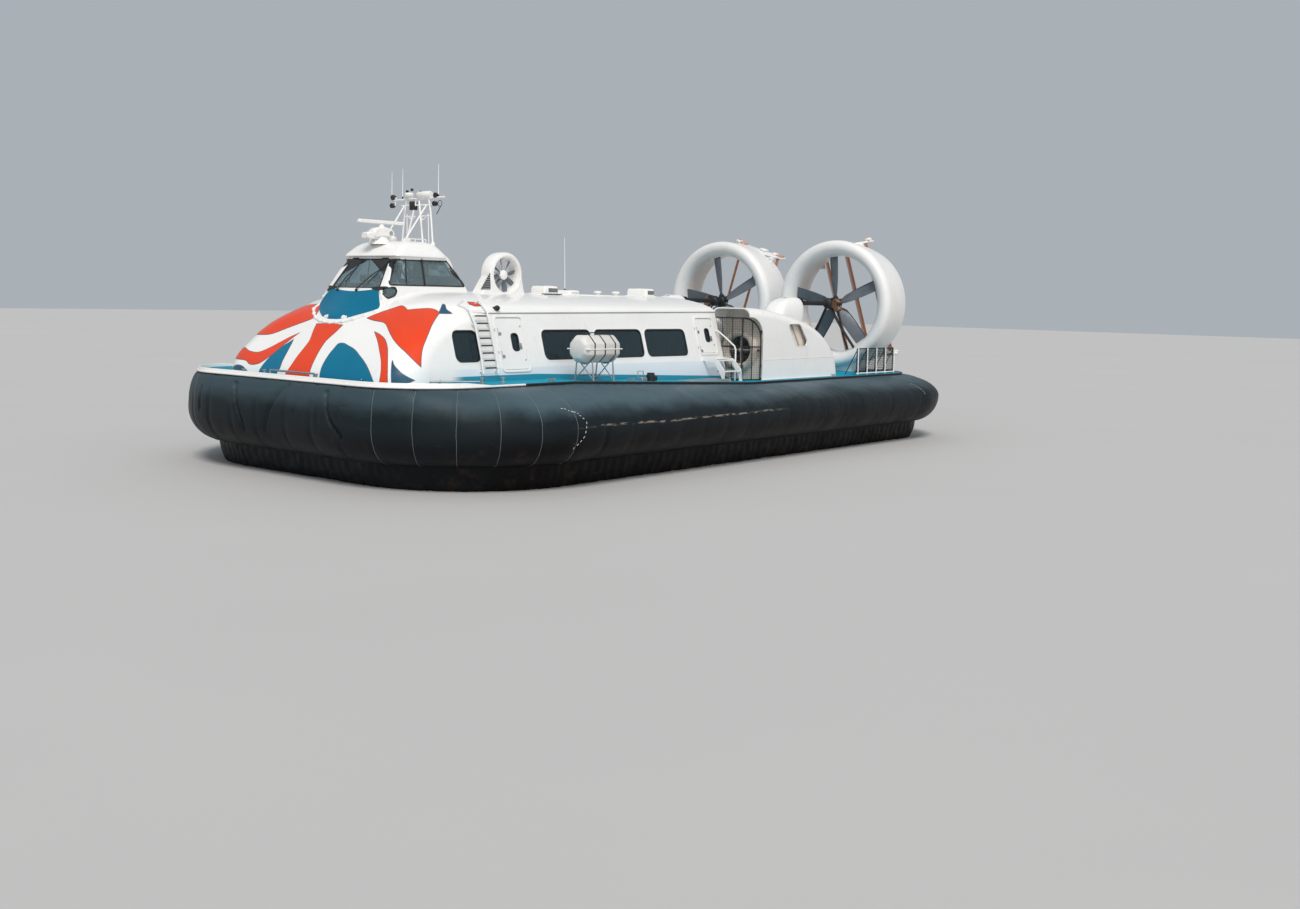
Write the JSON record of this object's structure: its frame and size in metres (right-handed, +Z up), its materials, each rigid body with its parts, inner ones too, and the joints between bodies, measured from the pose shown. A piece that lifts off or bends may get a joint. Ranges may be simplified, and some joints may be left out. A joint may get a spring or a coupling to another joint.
{
  "type": "passenger hovercraft",
  "caption": "Amphibious passenger hovercraft on an inflated skirt, with a domed cabin, a raised wheelhouse, side engine nacelles, ducted propellers and canted rudders.",
  "frame": {"origin": "centre of the footprint, on the ground under the skirt's hem", "axes": "+X towards the bow, +Y to port, +Z up"},
  "size_m": [23.66, 12.7, 7.65],
  "materials": {
    "white_paint": "satin, lightly weathered",
    "deck_blue": "satin, non-slip",
    "skirt_rubber": "matt, scuffed and wet low down",
    "black_rubber": "matt",
    "tinted_glass": "polished",
    "blade_grey": "satin",
    "dark_metal": "matt",
    "rudder_orange": "satin",
    "white_plastic": "gloss, moulded",
    "aluminium": "mill finish"
  },
  "bodies": {
    "craft": {"hull_raft": "deck_blue", "landing_skids": "black_rubber", "gunwale_rim": "white_paint", "skirt_loop_bow": "skirt_rubber", "skirt_apron_bow": "skirt_rubber", "skirt_loop_port": "skirt_rubber", "skirt_apron_port": "skirt_rubber", "skirt_loop_starboard": "skirt_rubber", "skirt_apron_starboard": "skirt_rubber", "skirt_loop_stern": "skirt_rubber", "skirt_apron_stern": "skirt_rubber", "cabin_side_port": "white_paint", "cabin_side_starboard": "white_paint", "cabin_roof": "white_paint", "bow_dome": "white_paint", "side_glazing_port": "tinted_glass", "side_glazing_starboard": "tinted_glass", "aft_house": "white_paint", "wheelhouse_shell": "white_paint", "wheelhouse_roof": "white_paint", "windscreen": "tinted_glass", "wheelhouse_glass_port": "tinted_glass", "wheelhouse_glass_starboard": "tinted_glass", "mast": "white_paint", "thruster_cowl_port": "white_paint", "thruster_cowl_starboard": "white_paint", "roof_vents": "white_paint", "nacelle_port": "white_paint", "nacelle_starboard": "white_paint", "engine_port": "dark_metal", "engine_starboard": "dark_metal", "intake_guard_port": "dark_metal", "intake_guard_starboard": "dark_metal", "drive_fairing_port": "white_paint", "drive_fairing_starboard": "white_paint", "prop_duct_port": "white_paint", "prop_duct_starboard": "white_paint", "liferaft_port": "white_plastic", "liferaft_starboard": "white_plastic", "roof_ladder": "aluminium", "boarding_steps_port": "aluminium", "boarding_steps_starboard": "aluminium"},
    "front_door_port": {"front_door_port": "white_paint"},
    "aft_hatch_port": {"aft_hatch_port": "white_paint"},
    "front_door_starboard": {"front_door_starboard": "white_paint"},
    "aft_hatch_starboard": {"aft_hatch_starboard": "white_paint"},
    "radar_scanner": {"radar_scanner": "white_paint"},
    "propeller_port": {"propeller_port": "blade_grey"},
    "thruster_fan_port": {"thruster_fan_port": "dark_metal"},
    "lift_fan_port": {"lift_fan_port": "dark_metal"},
    "propeller_starboard": {"propeller_starboard": "blade_grey"},
    "thruster_fan_starboard": {"thruster_fan_starboard": "dark_metal"},
    "lift_fan_starboard": {"lift_fan_starboard": "dark_metal"},
    "rudder_port_outer": {"rudder_port_outer": "rudder_orange"},
    "rudder_port_middle": {"rudder_port_middle": "rudder_orange"},
    "rudder_port_inner": {"rudder_port_inner": "rudder_orange"},
    "rudder_starboard_outer": {"rudder_starboard_outer": "rudder_orange"},
    "rudder_starboard_middle": {"rudder_starboard_middle": "rudder_orange"},
    "rudder_starboard_inner": {"rudder_starboard_inner": "rudder_orange"}
  },
  "joints": [
    {"name": "front_door_port_hinge", "type": "hinge", "parent": "craft", "child": "front_door_port", "pos_m": [7.6, 3.3053, 3.2], "axis": [0, -0.276, 0.9612], "range_deg": [-90, 0]},
    {"name": "aft_hatch_port_hinge", "type": "hinge", "parent": "craft", "child": "aft_hatch_port", "pos_m": [-0.4, 3.3053, 3.2], "axis": [0, -0.276, 0.9612], "range_deg": [-90, 0]},
    {"name": "front_door_starboard_hinge", "type": "hinge", "parent": "craft", "child": "front_door_starboard", "pos_m": [7.6, -3.3053, 3.2], "axis": [0, 0.276, 0.9612], "range_deg": [0, 90]},
    {"name": "aft_hatch_starboard_hinge", "type": "hinge", "parent": "craft", "child": "aft_hatch_starboard", "pos_m": [-0.4, -3.3053, 3.2], "axis": [0, 0.276, 0.9612], "range_deg": [0, 90]},
    {"name": "radar_turn", "type": "hinge", "parent": "craft", "child": "radar_scanner", "pos_m": [8.53, 0, 6.07], "axis": [0, 0, 1], "continuous": true},
    {"name": "propeller_port_turn", "type": "hinge", "parent": "craft", "child": "propeller_port", "pos_m": [-9.41, 2.413, 4.379], "axis": [1, 0, 0], "continuous": true},
    {"name": "thruster_fan_port_turn", "type": "hinge", "parent": "craft", "child": "thruster_fan_port", "pos_m": [5.61, 1.345, 4.93], "axis": [0, 1, 0], "continuous": true},
    {"name": "lift_fan_port_turn", "type": "hinge", "parent": "craft", "child": "lift_fan_port", "pos_m": [-2.51, 3.54, 2.95], "axis": [1, 0, 0], "continuous": true},
    {"name": "propeller_starboard_turn", "type": "hinge", "parent": "craft", "child": "propeller_starboard", "pos_m": [-9.41, -2.413, 4.379], "axis": [1, 0, 0], "continuous": true},
    {"name": "thruster_fan_starboard_turn", "type": "hinge", "parent": "craft", "child": "thruster_fan_starboard", "pos_m": [5.61, -1.345, 4.93], "axis": [0, 1, 0], "continuous": true},
    {"name": "lift_fan_starboard_turn", "type": "hinge", "parent": "craft", "child": "lift_fan_starboard", "pos_m": [-2.51, -3.54, 2.95], "axis": [1, 0, 0], "continuous": true},
    {"name": "rudder_port_outer_turn", "type": "hinge", "parent": "craft", "child": "rudder_port_outer", "pos_m": [-10.95, 3.2259, 4.6275], "axis": [0, -0.2924, 0.9563], "range_deg": [-76, 0]},
    {"name": "rudder_port_middle_turn", "type": "hinge", "parent": "craft", "child": "rudder_port_middle", "pos_m": [-10.95, 2.413, 4.379], "axis": [0, -0.2924, 0.9563], "range_deg": [-76, 0]},
    {"name": "rudder_port_inner_turn", "type": "hinge", "parent": "craft", "child": "rudder_port_inner", "pos_m": [-10.95, 1.6001, 4.1305], "axis": [0, -0.2924, 0.9563], "range_deg": [-76, 0]},
    {"name": "rudder_starboard_outer_turn", "type": "hinge", "parent": "craft", "child": "rudder_starboard_outer", "pos_m": [-10.95, -3.2259, 4.6275], "axis": [0, 0.2924, 0.9563], "range_deg": [-76, 0]},
    {"name": "rudder_starboard_middle_turn", "type": "hinge", "parent": "craft", "child": "rudder_starboard_middle", "pos_m": [-10.95, -2.413, 4.379], "axis": [0, 0.2924, 0.9563], "range_deg": [-76, 0]},
    {"name": "rudder_starboard_inner_turn", "type": "hinge", "parent": "craft", "child": "rudder_starboard_inner", "pos_m": [-10.95, -1.6001, 4.1305], "axis": [0, 0.2924, 0.9563], "range_deg": [-76, 0]}
  ],
  "couplings": [
    {"joint": "rudder_port_outer_turn", "follows": "rudder_port_middle_turn", "ratio": 1},
    {"joint": "rudder_port_inner_turn", "follows": "rudder_port_middle_turn", "ratio": 1},
    {"joint": "rudder_starboard_outer_turn", "follows": "rudder_port_middle_turn", "ratio": 1},
    {"joint": "rudder_starboard_middle_turn", "follows": "rudder_port_middle_turn", "ratio": 1},
    {"joint": "rudder_starboard_inner_turn", "follows": "rudder_port_middle_turn", "ratio": 1}
  ]
}
